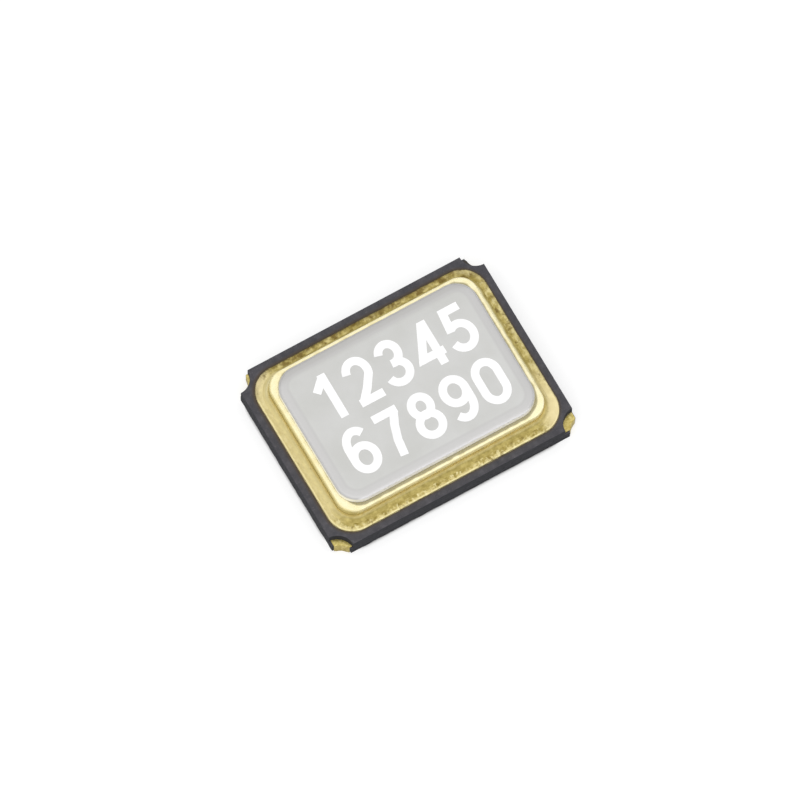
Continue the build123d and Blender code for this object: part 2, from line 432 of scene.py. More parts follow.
def seal_finish():
    """Gold over fired metal paste: blotchy, with pits, most on the far side and the right half. Painted
    light: a highlight along the rim and glints on flecks on the near sides, highlights along the left and at
    the near right and far left corners, and shade on the far side and in the far right corner."""
    finish = Finish("seal_plating", Metallic=1.0)
    blotch = finish.grain(0.080 * MM, detail=5)
    streak = finish.grain(0.030 * MM, detail=3, shift=7)
    pit = finish.grain(0.100 * MM, detail=5, shift=13)
    fleck = finish.grain(0.055 * MM, detail=4, stretch=(0.8, 1.3, 1), shift=41)
    finish.ground(blotch, (0.34, 154, 137, 72), (0.50, 180, 164, 98), (0.66, 210, 195, 132))

    # Shares of the sides and corners, and the distance from a wandering edge
    far = finish.between("Y", 0.80, 0.95)
    right = finish.between("X", 1.18, 1.34)
    corner = finish.math(
        "MULTIPLY",
        finish.remap(finish.math("ABSOLUTE", finish.along("X")), 1.20 * MM, 1.38 * MM),
        finish.remap(finish.math("ABSOLUTE", finish.along("Y")), 0.84 * MM, 1.02 * MM),
    )
    far_left = finish.math("MULTIPLY", corner, far, finish.math("SUBTRACT", 0.7, right))
    far_right = finish.math("MULTIPLY", corner, far, right)
    away = finish.math("MAXIMUM", far, finish.math("MULTIPLY", right, 0.6))
    near = finish.math("SUBTRACT", 1.0, away)
    near = finish.math("MAXIMUM", near, finish.math("MULTIPLY", corner, right, 0.55))
    inward = finish.outside_of(SEAL, SEAL_CORNER)
    wander = finish.remap(streak, 0.3, 0.7, -0.028 * MM, 0.028 * MM)
    edge = finish.math("ADD", inward, wander, finish.math("MULTIPLY", corner, 0.040 * MM))

    # Painted highlight along the rim, and painted glints on bright specks, on the near sides
    rim = finish.remap(edge, -0.050 * MM, -0.016 * MM, 0.0, 0.75)
    finish.tint(finish.math("MULTIPLY", rim, near), 243, 231, 176)
    grown = finish.remap(inward, -0.12 * MM, -0.04 * MM, -0.03, 0.07)
    painted_fleck_glints = finish.remap(finish.math("ADD", fleck, grown), 0.59, 0.69, 0.0, 0.70)
    finish.tint(finish.math("MULTIPLY", painted_fleck_glints, near), 250, 240, 190)

    # Painted highlights on the left and at the near right and far left corners, and painted shade on the far
    # side and in the far right corner
    left = finish.between("X", -1.30, -1.14, 0.78, 0.0)
    left = finish.math("MULTIPLY", left, finish.between("Y", -0.96, -0.80))
    finish.tint(left, 232, 218, 164)
    # Painted highlight at the near right corner and at the far left corner
    pale = finish.math("MULTIPLY", right, finish.between("Y", -0.85, -0.25, 0.85, 0.0))
    pale = finish.math("MAXIMUM", pale, far_left)
    finish.tint(pale, 244, 229, 178)
    # Painted shade in the far right corner, inside the band
    painted_corner_shade = finish.remap(inward, -0.088 * MM, -0.058 * MM, 0.85, 0.0)
    finish.tint(finish.math("MULTIPLY", far_right, painted_corner_shade), 128, 108, 40)
    # Painted shadow on the far side, lighter in the corners
    shadow = finish.remap(edge, -0.062 * MM, -0.004 * MM, 0.0, 0.75)
    open_corner = finish.math("SUBTRACT", 1.0, finish.math("MULTIPLY", corner, 0.8))
    finish.tint(finish.math("MULTIPLY", shadow, far, open_corner), 96, 82, 52)

    # Pits, most on the worn right half, and none at the near right corner
    worn = finish.between("X", 0.30, 0.85, 0.0, 0.055)
    whole = finish.between("X", 0.96, 1.10, 0.0, 0.100)
    whole = finish.math("MULTIPLY", whole, finish.between("Y", -0.85, -0.70, 1.0, 0.0))
    worn = finish.math("SUBTRACT", worn, whole)
    worn = finish.math("MAXIMUM", finish.math("MULTIPLY", far, 0.09), worn)
    paler = finish.math("MULTIPLY", finish.math("MAXIMUM", left, pale), 0.10)
    deeper = finish.math("SUBTRACT", finish.math("ADD", pit, worn), paler)
    finish.tint(finish.remap(deeper, 0.59, 0.70, 0.0, 0.80), 112, 92, 46)
    finish.rough(blotch, 0.46, 0.32)
    finish.bump(blotch, 0.0030 * MM)
    finish.bump(streak, 0.0012 * MM)
    return finish.done()


def braze_finish():
    """Gold over the frozen braze: smoother and darker than the printed frame, the darkness partly painted
    shade at the ring's foot, with pits. Painted highlights on its upper part by the ring, where it faces
    away, at the left and at the near right."""
    finish = Finish("braze", Metallic=0.85)
    flow = finish.grain(0.05 * MM, detail=4, shift=2)
    pit = finish.grain(0.03 * MM, detail=2, shift=21)
    height = finish.along("Z")
    finish.ground(flow, (0.32, 156, 140, 78), (0.52, 175, 159, 94), (0.70, 192, 176, 109))
    # Painted highlight on the upper fillet, by the foot of the ring
    painted_ring_foot_highlight = finish.remap(height, SEAL_TOP + 0.012 * MM, SEAL_TOP + 0.045 * MM)
    finish.tint(painted_ring_foot_highlight, 240, 226, 166)
    # Painted highlight along the left side
    left = finish.between("X", -1.16, -1.04, 0.68, 0.0)
    left = finish.math("MULTIPLY", left, finish.between("Y", -0.96, -0.72))
    finish.tint(left, 228, 214, 158)
    # Painted highlight beside the ring at the near right
    outward = finish.outside_of(RING, RING_CORNER)
    pale = finish.math(
        "MULTIPLY",
        finish.remap(outward, 0.020 * MM, 0.065 * MM, 0.0, 0.80),
        finish.between("Y", -0.85, -0.30, 1.0, 0.0),
        finish.between("X", 1.16, 1.30),
    )
    finish.tint(pale, 244, 229, 178)
    # Painted highlight on the far side and the right side, where the fillet faces away
    far = finish.between("Y", 0.76, 0.84)
    far = finish.math("MULTIPLY", far, finish.between("X", -1.30, -1.12, 0.35, 1.0))
    right = finish.between("X", 1.14, 1.22)
    right = finish.math("MULTIPLY", right, finish.between("Y", -0.72, -0.40))
    risen = finish.remap(height, SEAL_TOP + 0.001 * MM, SEAL_TOP + 0.012 * MM, 0.0, 0.9)
    bright = finish.math("MULTIPLY", finish.math("MAXIMUM", far, right), risen)
    finish.tint(bright, 252, 246, 204)
    finish.tint(finish.remap(pit, 0.70, 0.76, 0.0, 0.5), 140, 118, 66)
    finish.rough(flow, 0.50, 0.38)
    finish.bump(flow, 0.0022 * MM)
    return finish.done()


def ring_finish():
    """Thick gold on the stamped ring, with faint marks of the die. Its pale ground is a painted highlight on
    its top; its sides are darker as painted shade, darkest on the left, and so is its rolled edge on the
    left. The grey weld line round the lid is partly painted shade at the lid's foot."""
    finish = Finish("ring_plating", Metallic=0.8)
    sheen = finish.grain(0.12 * MM, detail=3)
    scratch = finish.grain(0.02 * MM, detail=3, stretch=(1, 1, 6), shift=5)
    left = finish.between("X", -1.26, -1.12, 1.0, 0.0)
    near = finish.between("Y", -0.90, -0.74, 1.0, 0.0)
    far = finish.between("Y", 0.74, 0.84)
    inward = finish.outside_of(RING, RING_CORNER)
    # Pale ground: painted highlight on the ring's top
    finish.ground(sheen, (0.30, 248, 236, 184), (0.60, 255, 246, 204))

    # Painted shade on the sides, darkest on the left, and on the rolled edge on the left
    height = finish.math("SUBTRACT", finish.along("Z"), finish.math("MULTIPLY", left, 0.030 * MM))
    side = finish.remap(height, RING_TOP - 0.095 * MM, RING_TOP - 0.045 * MM, 0.9, 0.0)
    painted_side_shade = finish.mix(left, srgb(224, 208, 142), srgb(200, 184, 108))
    finish.colour = finish.mix(side, finish.colour, painted_side_shade)
    painted_roll_shade = finish.remap(inward, -0.022 * MM, -0.008 * MM, 0.0, 0.8)
    finish.tint(finish.math("MULTIPLY", left, painted_roll_shade), 208, 193, 128)

    # Weld line, partly painted shade at the lid's foot, whose width changes from side to side
    weld_and_shade_gap = finish.math(
        "ADD",
        finish.outside_of(LID, LID_CORNER),
        finish.remap(sheen, 0.3, 0.7, -0.006 * MM, 0.006 * MM),
        finish.math("MULTIPLY", left, 0.027 * MM),
    )
    near_gap = finish.math("MULTIPLY", near, 0.011 * MM)
    corner_gap = finish.math("MULTIPLY", far, finish.between("X", 1.05, 1.15, 0.0, 0.022 * MM))
    weld_and_shade_gap = finish.math("SUBTRACT", weld_and_shade_gap, near_gap, corner_gap)
    finish.tint(finish.remap(weld_and_shade_gap, 0.018 * MM, 0.034 * MM, 0.8, 0.0), 146, 138, 106)

    low = finish.remap(height, RING_TOP - 0.09 * MM, RING_TOP - 0.02 * MM, 0.4, 0.8)
    rolled = finish.remap(inward, -0.020 * MM, -0.006 * MM, 0.8, 0.35)
    finish.feed("Metallic", finish.math("MINIMUM", low, rolled))
    finish.rough(sheen, 0.30, 0.22)
    finish.bump(scratch, 0.0006 * MM)
    return finish.done()


def lid_finish():
    """Satin nickel with a fine rolled grain, and the roller's track round the border. Painted shade darkens
    the far side; painted highlights lighten the side wall and the near crest.
    """
    finish = Finish("lid_nickel", Metallic=0.85)
    grain = finish.grain(0.010 * MM, detail=2, stretch=(3, 1, 1))
    cloud = finish.grain(0.5 * MM, detail=3, shift=4)
    height = finish.along("Z")
    inward = finish.outside_of(LID, LID_CORNER)
    finish.ground(cloud, (0.35, 203, 203, 200), (0.65, 209, 209, 207))
    finish.tint(finish.remap(inward, -0.115 * MM, -0.075 * MM), 201, 200, 199)
    # Painted shade on the far side
    finish.tint(finish.between("Y", 0.74, 0.82, 0.0, 0.4), 176, 174, 170)
    track = finish.math("ABSOLUTE", finish.math("ADD", inward, 0.105 * MM))
    finish.tint(finish.remap(track, 0.006 * MM, 0.028 * MM, 0.7, 0.0), 196, 195, 194)
    # Painted highlight on the side wall, which is also made less metallic
    wall = finish.remap(height, LID_TOP - 0.06 * MM, LID_TOP - 0.03 * MM, 1.0, 0.0)
    finish.tint(wall, 244, 243, 240)
    # Painted highlight on the near crest
    near = finish.between("Y", -0.88, -0.86, 1.0, 0.0)
    crest = finish.remap(height, LID_TOP - 0.020 * MM, LID_TOP - 0.011 * MM, 0.65, 0.0)
    finish.tint(finish.math("MULTIPLY", near, crest), 246, 245, 246)
    finish.feed("Metallic", finish.math("SUBTRACT", 0.85, finish.math("MULTIPLY", wall, 0.45)))
    finish.rough(grain, 0.36, 0.46)
    finish.bump(grain, 0.0004 * MM)
    return finish.done()


def terminal_finish():
    """Gold on the lands and in the notches, with the tooth of the paste below it. The ledge at the far right
    corner is painted dark grey."""
    finish = Finish("terminal_plating", Metallic=1.0)
    tooth = finish.grain(0.03 * MM, detail=4, shift=9)
    cloud = finish.grain(0.16 * MM, detail=2, shift=17)
    finish.ground(tooth, (0.32, 178, 160, 86), (0.52, 204, 188, 116), (0.70, 228, 212, 150))
    finish.tint(finish.remap(cloud, 0.45, 0.7, 0.0, 0.5), 190, 168, 92)
    # The ledge at the far right corner is painted dark grey
    bare = finish.math(
        "MULTIPLY",
        finish.between("Y", 0.80, 0.95),
        finish.between("X", 1.10, 1.25),
        finish.remap(finish.along("Z"), FLOOR_LEVEL - 0.02 * MM, FLOOR_LEVEL),
    )
    finish.tint(bare, 74, 70, 66)
    finish.rough(tooth, 0.42, 0.30)
    finish.bump(tooth, 0.0014 * MM)
    return finish.done()


def ink_finish():
    """White marking: matt and finely grained."""
    finish = Finish("marking_white")
    grain = finish.grain(0.016 * MM, detail=2, shift=6)
    finish.ground(grain, (0.3, 246, 246, 246), (0.6, 254, 254, 254))
    finish.rough(grain, 0.55, 0.7)
    finish.bump(grain, 0.0003 * MM)
    return finish.done()


def lead_finish():
    """Gold over tungsten on the leads inside the package."""
    finish = Finish("lead_plating", Metallic=1.0)
    tooth = finish.grain(0.025 * MM, detail=4)
    finish.ground(tooth, (0.3, 196, 168, 96), (0.7, 232, 208, 140))
    finish.rough(tooth, 0.40, 0.28)
    finish.bump(tooth, 0.0012 * MM)
    return finish.done()


def quartz_finish():
    """Lapped quartz: clear, with a fine frost left on its faces."""
    finish = Finish("quartz", IOR=1.544, Transmission_Weight=0.92)
    frost = finish.grain(0.012 * MM, detail=2)
    cloud = finish.grain(0.3 * MM, detail=2, shift=8)
    finish.ground(cloud, (0.3, 232, 238, 242), (0.7, 248, 250, 252))
    finish.rough(frost, 0.10, 0.22)
    finish.bump(frost, 0.0002 * MM)
    return finish.done()


def electrode_finish():
    """Evaporated gold: smooth, with a slight cloud where the film is thinner."""
    finish = Finish("electrode_gold", Metallic=1.0)
    cloud = finish.grain(0.2 * MM, detail=3)
    finish.ground(cloud, (0.3, 238, 206, 122), (0.7, 250, 222, 144))
    finish.rough(cloud, 0.14, 0.24)
    finish.bump(cloud, 0.0003 * MM)
    return finish.done()


def adhesive_finish():
    """Silver-filled silicone: grey, with flakes that glint."""
    finish = Finish("adhesive", Metallic=0.35)
    flake = finish.grain(0.008 * MM, detail=2)
    finish.ground(flake, (0.4, 142, 142, 146), (0.62, 206, 206, 210))
    finish.feed("Roughness", finish.remap(flake, 0.4, 0.62, 0.55, 0.30))
    finish.bump(flake, 0.0008 * MM)
    return finish.done()


def silicon_finish():
    """Ground back of the chip: dark grey with fine parallel marks of the wheel."""
    finish = Finish("silicon", Metallic=0.4)
    wheel = finish.grain(0.006 * MM, detail=2, stretch=(30, 1, 1))
    finish.ground(wheel, (0.3, 84, 88, 98), (0.7, 116, 120, 130))
    finish.rough(wheel, 0.24, 0.38)
    finish.bump(wheel, 0.0003 * MM)
    return finish.done()


def bump_finish():
    """Gold stud bumps, squeezed flat and faintly wrinkled."""
    finish = Finish("bump_gold", Metallic=1.0)
    wrinkle = finish.grain(0.01 * MM, detail=3)
    finish.ground(wrinkle, (0.3, 222, 184, 96), (0.7, 248, 216, 132))
    finish.rough(wrinkle, 0.34, 0.22)
    finish.bump(wrinkle, 0.0008 * MM)
    return finish.done()


# Pieces

def levels(low, high, count):
    """Heights from one to another in even steps, both ends included."""
    return [low + (high - low) * step / count for step in range(count + 1)]


def make_ceramic(material, side_material):
    """Two fired sheets: sawn-smooth above, snapped and slightly ragged below, with a fine
    seam between them and the chip's cavity in the upper one."""
    bevel = 0.008 * MM
    seam = 0.004 * MM
    graze = 0.0025 * MM
    graze_grain = 0.03 * MM
    chips = 0.009 * MM
    chips_grain = 0.07 * MM
    under_seal = 0.02 * MM
    loops = []
    for level, inset in ((CERAMIC_LOW, bevel), (CERAMIC_LOW + 0.3 * bevel, 0.35 * bevel)):
        loop = at_level(notched(BASE_NOTCH, PUNCH_SLIP, inset), level)
        loops.append(pushed_in(loop, chips, chips_grain))
    for level in levels(CERAMIC_LOW + bevel, FLOOR_LEVEL - seam, 9):
        loop = at_level(notched(BASE_NOTCH, PUNCH_SLIP), level)
        loop = pushed_in(loop, graze, graze_grain)
        share = 1 - (level - CERAMIC_LOW) / BASE_SHEET
        loops.append(pushed_in(loop, chips * share**2, chips_grain))
    loops.append(at_level(notched(BASE_NOTCH, PUNCH_SLIP, seam), FLOOR_LEVEL))
    loops.append(at_level(notched(FRAME_NOTCH, inset=1.2 * seam), FLOOR_LEVEL))
    for level in levels(FLOOR_LEVEL + seam, CERAMIC_TOP - bevel, 7):
        loop = at_level(notched(FRAME_NOTCH), level)
        loops.append(pushed_in(loop, graze, graze_grain, seed=5))
    for drop, inset in ((0.3 * bevel, 0.3 * bevel), (0, bevel), (0, 2 * bevel)):
        loops.append(at_level(notched(FRAME_NOTCH, inset=inset), CERAMIC_TOP - drop))
    loops.append(at_level(rounded(SEAL, SEAL_CORNER, inset=under_seal), CERAMIC_TOP))
    cavity = rounded(CAVITY, CAVITY_CORNER, center=Vector((CHIP_X, 0)))
    loops.append(at_level(cavity, CERAMIC_TOP))
    loops.append(at_level(cavity, FLOOR_LEVEL))
    shell = Shell()
    shell.loft(loops)
    body = shell.piece("ceramic_body", material, "ceramic", "ceramic_base")
    body.data.materials.append(side_material)
    for face in body.data.polygons:
        face.material_index = int(abs(face.normal.z) < 0.5)
    return body


def land_outline(corner, index_cut, inset):
    """The land of one terminal: three rounded corners and the notch, one corner cut off on
    the index land."""
    side_x, side_y = corner
    outer = BODY / 2 - Vector((LAND_INSET, LAND_INSET))
    center = Vector((side_x * (outer.x - LAND_LENGTH / 2), side_y * (outer.y - LAND_WIDTH / 2)))
    half = Vector((LAND_LENGTH, LAND_WIDTH)) / 2 - Vector((inset, inset))
    radius = LAND_CORNER - inset
    arcs = []
    for way_x, way_y in CORNERS:
        tip = center + Vector((way_x * half.x, way_y * half.y))
        if (way_x, way_y) == (side_x, side_y):
            punch = body_corner(corner) + PUNCH_SLIP
            edge = outer - Vector((inset, inset))
            arcs.append(notch_arc(corner, BASE_NOTCH - PLATING + inset, punch, edge))
            continue
        cut = INDEX_CUT if index_cut and (way_x, way_y) == (-side_x, -side_y) else radius
        on_side = tip - Vector((0, way_y * cut))
        on_end = tip - Vector((way_x * cut, 0))
        first, last = (on_side, on_end) if way_x * way_y > 0 else (on_end, on_side)
        if cut == radius:
            arcs.append(arc(tip - Vector((way_x, way_y)) * radius, radius, first, last))
        else:
            arcs.append([first.lerp(last, step / ARC_STEPS) for step in range(ARC_STEPS + 1)])
    return closed_outline(arcs)


def make_terminal(node, corner, setback, material):
    """One conductor: land, notch wall, ledge, and the buried run to its pad under the chip.
    Its plating stops short of the body's two edges by a setback."""
    low, high = 0.0, CERAMIC_LOW
    soft = 0.003 * MM
    thinned_points = 3
    shell = Shell()
    shell.loft(
        [
            at_level(land_outline(corner, node == "terminal_enable", inset), level)
            for level, inset in ((low, soft), (low + soft, 0), (high - soft, 0), (high, 0.4 * soft))
        ]
    )
    edge = BODY / 2 - Vector(setback)
    punch = body_corner(corner) + PUNCH_SLIP
    wall = BASE_NOTCH - PLATING
    ledge = FLOOR_LEVEL + FILM

    def wall_arc(radius, level):
        """The face of the plating in the notch, which thins towards both its ends."""
        bare = notch_arc(corner, BASE_NOTCH, punch, edge)
        plated = notch_arc(corner, radius, punch, edge)
        last = len(bare) - 1
        arc_points = []
        for index, (start, end) in enumerate(zip(bare, plated)):
            from_end = min(index, last - index)
            arc_points.append(start.lerp(end, min(1.0, (from_end + 1) / thinned_points)))
        return at_level(arc_points, level)

    def ledge_arc(level):
        """The far edge of the film on the ledge, under the upper sheet."""
        radius = FRAME_NOTCH + LEDGE_OVERLAP
        return at_level(notch_arc(corner, radius, body_corner(corner), edge), level)

    shell.loft(
        [
            wall_arc(BASE_NOTCH, high - soft),
            wall_arc(wall, high - soft),
            wall_arc(wall, ledge - 2 * soft),
            wall_arc(wall + 0.4 * soft, ledge - soft),
            wall_arc(wall + 1.2 * soft, ledge - 0.3 * soft),
            wall_arc(wall + 2.4 * soft, ledge),
            ledge_arc(ledge),
            ledge_arc(FLOOR_LEVEL),
            wall_arc(BASE_NOTCH, FLOOR_LEVEL),
        ],
        around=False,
        closed=True,
    )
    side_x, side_y = corner
    turn = body_corner(corner) - Vector(corner) * TRACE_EDGE
    pad = Vector((CHIP_X + (BUMP_PITCH if side_x > 0 else 0), side_y * chip_row()))
    across = Vector((pad.x, turn.y))
    start = turn - Vector((side_x * TRACE_WIDTH / 2, 0))
    for begin, end in ((start, across), (across, pad)):
        shell.strip(begin, end, TRACE_WIDTH, FLOOR_LEVEL, ledge)
    reach = Vector((FILM, 0))
    shell.strip(pad - reach, pad + reach, CHIP_PAD - 2 * FILM, FLOOR_LEVEL, ledge)
    return shell.piece("plated_" + node, material, "terminal_plating", node)


def chip_row():
    """Distance of the bump rows from the chip's centre line."""
    low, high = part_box("chip_bump_6")
    return (low.y + high.y) / 2


def make_seal_frame(material):
    """Printed frame with a rounded, slightly raised rim and an uneven surface. The print
    slipped a little to one side."""
    micron = 0.001 * MM
    # Profile of the rim, as distances in from its edge and up from the ceramic in micrometres
    rim = [(0.0, 0.0), (0.0, 5.0), (1.2, 10.0), (4.5, 15.2), (9.5, 18.9), (16.0, 20.4), (23.0, 20.0)]
    rim += [(31.0, 18.6), (40.0, 17.4), (50.0, 16.8), (60.0, 16.6), (70.0, 16.6), (82.0, 16.8), (96.0, 17.0)]
    wander = 0.006 * MM
    wander_grain = 0.05 * MM
    ripple = 0.0014 * MM
    ripple_grain = 0.035 * MM
    ripple_at_edge = 0.3
    ripple_growth = 20.0
    loops = []
    for inset, rise in rim:
        outline = rounded(SEAL, SEAL_CORNER, inset * micron, center=PRINT_SLIP)
        loop = at_level(outline, CERAMIC_TOP + rise * micron)
        if rise > 0:
            loop = pushed_in(loop, wander, wander_grain, seed=2)
            share = min(1, inset / ripple_growth + ripple_at_edge)
            loop = lifted(loop, ripple * share, ripple_grain, seed=3)
        loops.append(loop)
    for level in (SEAL_TOP, CERAMIC_TOP):
        loops.append(at_level(rounded(WINDOW, WINDOW_CORNER), level))
    shell = Shell()
    shell.loft(loops, closed=True)
    return shell.piece("printed_seal_frame", material, "seal_plating", "seal_frame")


def make_braze(material):
    """Layer under the ring and the hollow fillet at the ring's foot."""
    lip = 0.004 * MM
    steps = 8
    wander = 0.016 * MM
    wander_grain = 0.11 * MM
    climb = 0.006 * MM
    ripple = 0.001 * MM
    ripple_grain = 0.09 * MM
    loops = [at_level(rounded(RING, RING_CORNER, -BRAZE_REACH), SEAL_TOP - lip)]
    for step in range(steps + 1):
        turn = math.pi / 2 * step / steps
        out = lip + (BRAZE_REACH - lip) * (1 - math.sin(turn))
        rise = (BRAZE_TOP - SEAL_TOP) * (1 - math.cos(turn))
        loop = at_level(rounded(RING, RING_CORNER, -out), SEAL_TOP + rise)
        at_foot = 1 - step / steps
        loop = pushed_in(loop, wander * at_foot, wander_grain, seed=8)
        loops.append(lifted(loop, climb * (1 - at_foot) + ripple, ripple_grain, seed=11))
    buried = rounded(RING, RING_CORNER, 2 * lip)
    loops.append(at_level(buried, BRAZE_TOP - 4 * lip))
    loops.append(at_level(buried, RING_LOW))
    for level in (RING_LOW, SEAL_TOP):
        loops.append(at_level(rounded(WINDOW, WINDOW_CORNER), level))
    shell = Shell()
    shell.loft(loops, closed=True)
    return shell.piece("braze_skin", material, "braze", "braze_fillet")


def make_ring(material):
    """Stamped ring with its outer top edge rolled over."""
    edge = 0.016 * MM
    steps = 8
    loops = [at_level(rounded(RING, RING_CORNER), level) for level in levels(RING_LOW, RING_TOP - edge, 6)]
    for step in range(1, steps + 1):
        turn = math.pi / 2 * step / steps
        inset = edge * (1 - math.cos(turn))
        loops.append(at_level(rounded(RING, RING_CORNER, inset), RING_TOP - edge * (1 - math.sin(turn))))
    loops.append(at_level(rounded(RING, RING_CORNER, 1.6 * edge), RING_TOP))
    for level in (RING_TOP, RING_LOW):
        loops.append(at_level(rounded(WINDOW, WINDOW_CORNER), level))
    shell = Shell()
    shell.loft(loops, closed=True)
    return shell.piece("plated_seal_ring", material, "ring_plating", "seal_ring")


def make_lid(material):
    """Plate with a rounded rim and a border that slopes softly down from its plateau."""
    rim = 0.040 * MM
    foot = 0.006 * MM
    plateau = LID_TOP - INK
    crest = plateau - LID_SLOPE
    steps = 7
    tilt = math.atan2(2 * LID_SLOPE, LID_BORDER - rim)
    loops = [at_level(rounded(LID, LID_CORNER, foot), RING_TOP)]
    loops.append(at_level(rounded(LID, LID_CORNER), RING_TOP + foot))
    for step in range(steps + 1):
        turn = (math.pi / 2 - tilt) * step / steps
        loop = rounded(LID, LID_CORNER, rim * (1 - math.cos(turn)))
        loops.append(at_level(loop, crest - rim * (1 - math.sin(turn))))
    for share in (0.1, 0.2, 0.3, 0.4, 0.5, 0.6, 0.7, 0.85, 1.0):
        level = plateau - LID_SLOPE * (1 - share) ** 2
        loops.append(at_level(rounded(LID, LID_CORNER, rim + (LID_BORDER - rim) * share), level))
    for extra in (0.012 * MM, 0.03 * MM):
        loops.append(at_level(rounded(LID, LID_CORNER, LID_BORDER + extra), plateau))
    shell = Shell()
    shell.loft(loops)
    return shell.piece("nickel_lid", material, "lid_nickel", "lid")


# Digits: each is a few strokes in a box of 1 by 1, drawn as runs of points

def bow(center_x, center_y, reach_x, reach_y, start, end, steps=28):
    """Points of an elliptical arc, from one angle to another in degrees."""
    angles = [math.radians(start + (end - start) * step / steps) for step in range(steps + 1)]
    return [(center_x + reach_x * math.cos(a), center_y + reach_y * math.sin(a)) for a in angles]


LOOP_OF_SIX = bow(0.5, 0.30, 0.5, 0.30, 180, -180, 48)
DIGITS = {
    "0": [bow(0.5, 0.70, 0.5, 0.30, 180, 0) + bow(0.5, 0.30, 0.5, 0.30, 0, -180) + [(0.0, 0.70)]],
    "1": [[(0.66, 1.08), (0.66, -0.09)], [(0.62, 0.98), (0.10, 0.71)]],
    "2": [bow(0.48, 0.70, 0.48, 0.30, 170, -25) + [(0.52, 0.27), (0.10, 0.02)], [(-0.10, 0.0), (1.08, 0.0)]],
    "3": [bow(0.46, 0.745, 0.43, 0.255, 165, -80) + [(0.36, 0.50)], bow(0.46, 0.26, 0.50, 0.26, 85, -165)],
    "4": [[(0.80, 1.08), (0.80, -0.09)], [(0.775, 1.038), (0.03, 0.22), (1.12, 0.22)]],
    "5": [[(0.98, 1.0), (0.02, 1.0)], [(0.21, 1.02), (0.10, 0.485)], bow(0.46, 0.31, 0.52, 0.31, 122, -160)],
    "6": [LOOP_OF_SIX, bow(0.52, 0.62, 0.52, 0.38, 42, 180) + [(0.0, 0.34)]],
    "7": [[(-0.05, 1.0), (1.15, 1.0)], [(0.99, 0.98), (0.70, 0.66), (0.50, 0.32), (0.40, -0.09)]],
    "8": [bow(0.5, 0.755, 0.42, 0.245, -90, 270, 40), bow(0.5, 0.27, 0.5, 0.27, 90, -270, 48)],
    "9": [[(1 - x, 1 - y) for x, y in LOOP_OF_SIX], bow(0.48, 0.38, 0.52, 0.38, 222, 360) + [(1.0, 0.66)]],
}


def ribbon(points, width):
    """The two edges of a stroke that follows points, closed on itself where it ends at its
    start."""
    closed = (points[0] - points[-1]).length < 0.001 * MM
    if closed:
        points = points[:-1]
    lefts, rights = [], []
    for index, point in enumerate(points):
        before = points[index - 1] if index or closed else point
        after = points[(index + 1) % len(points)] if index + 1 < len(points) or closed else point
        arriving = (point - before).normalized() if point != before else (after - point).normalized()
        leaving = (after - point).normalized() if after != point else arriving
        side = Vector((-(arriving + leaving).y, (arriving + leaving).x)).normalized()
        mitre = width / 2 / max(side.dot(Vector((-leaving.y, leaving.x))), 0.4)
        lefts.append(point + side * mitre)
        rights.append(point - side * mitre)
    return lefts, rights, closed


def make_marking(name, digits, low_y, material):
    """One row of plain digits, printed on the lid. The strokes of a digit that cross differ
    a hair in height."""
    height = 0.60 * MM
    glyph = 0.360 * MM
    pitch = 0.425 * MM
    stroke = 0.100 * MM
    low_x = -0.985 * MM
    sunk = 0.001 * MM
    hair = 0.0003 * MM
    shell = Shell()
    bottom = LID_TOP - INK - sunk
    for place, digit in enumerate(digits):
        corner = Vector((low_x + place * pitch + stroke / 2, low_y + stroke / 2))
        room = Vector((glyph - stroke, height - stroke))
        for number, run in enumerate(DIGITS[digit]):
            points = [corner + Vector((x * room.x, y * room.y)) for x, y in run]
            lefts, rights, closed = ribbon(points, stroke)
            top = LID_TOP - number * hair
            rows = [
                at_level(lefts, bottom),
                at_level(lefts, top),
                at_level(rights, top),
                at_level(rights, bottom),
            ]
            shell.loft(rows, around=closed, closed=True)
    return shell.piece(name, material, "lid_nickel")


ink = ink_finish()
gold = terminal_finish()
make_ceramic(ceramic_finish(), ceramic_side_finish())
for node, corner, setback in (
    ("terminal_enable", (-1, -1), (PLATING_SETBACK, PLATING_SETBACK)),
    ("terminal_ground", (1, -1), (PLATING_SETBACK_SHORT, PLATING_SETBACK)),
    ("terminal_output", (1, 1), (PLATING_SETBACK, PLATING_SETBACK)),
    ("terminal_supply", (-1, 1), (PLATING_SETBACK, PLATING_SETBACK_SHORT)),
):
    make_terminal(node, corner, setback, gold)
make_seal_frame(seal_finish())
make_braze(braze_finish())
make_ring(ring_finish())
make_lid(lid_finish())
make_marking("marking_row_upper", "12345", low_y=0.064 * MM, material=ink)
make_marking("marking_row_lower", "67890", low_y=-0.678 * MM, material=ink)

# The pieces inside keep their solids and get their own finishes
inner_finishes = (
    (lead_finish(), ["crystal_lead_front", "crystal_lead_rear"]),
    (quartz_finish(), ["quartz_blank"]),
    (electrode_finish(), ["lower_electrode", "upper_electrode"]),
    (adhesive_finish(), ["adhesive_dot_front", "adhesive_dot_rear"]),
    (silicon_finish(), ["amplifier_chip"]),
    (bump_finish(), [f"chip_bump_{number}" for number in range(1, 7)]),
)
for material, names in inner_finishes:
    for name in names:
        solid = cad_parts[name]
        solid.data.materials.clear()
        solid.data.materials.append(material)


# Camera, floor and light

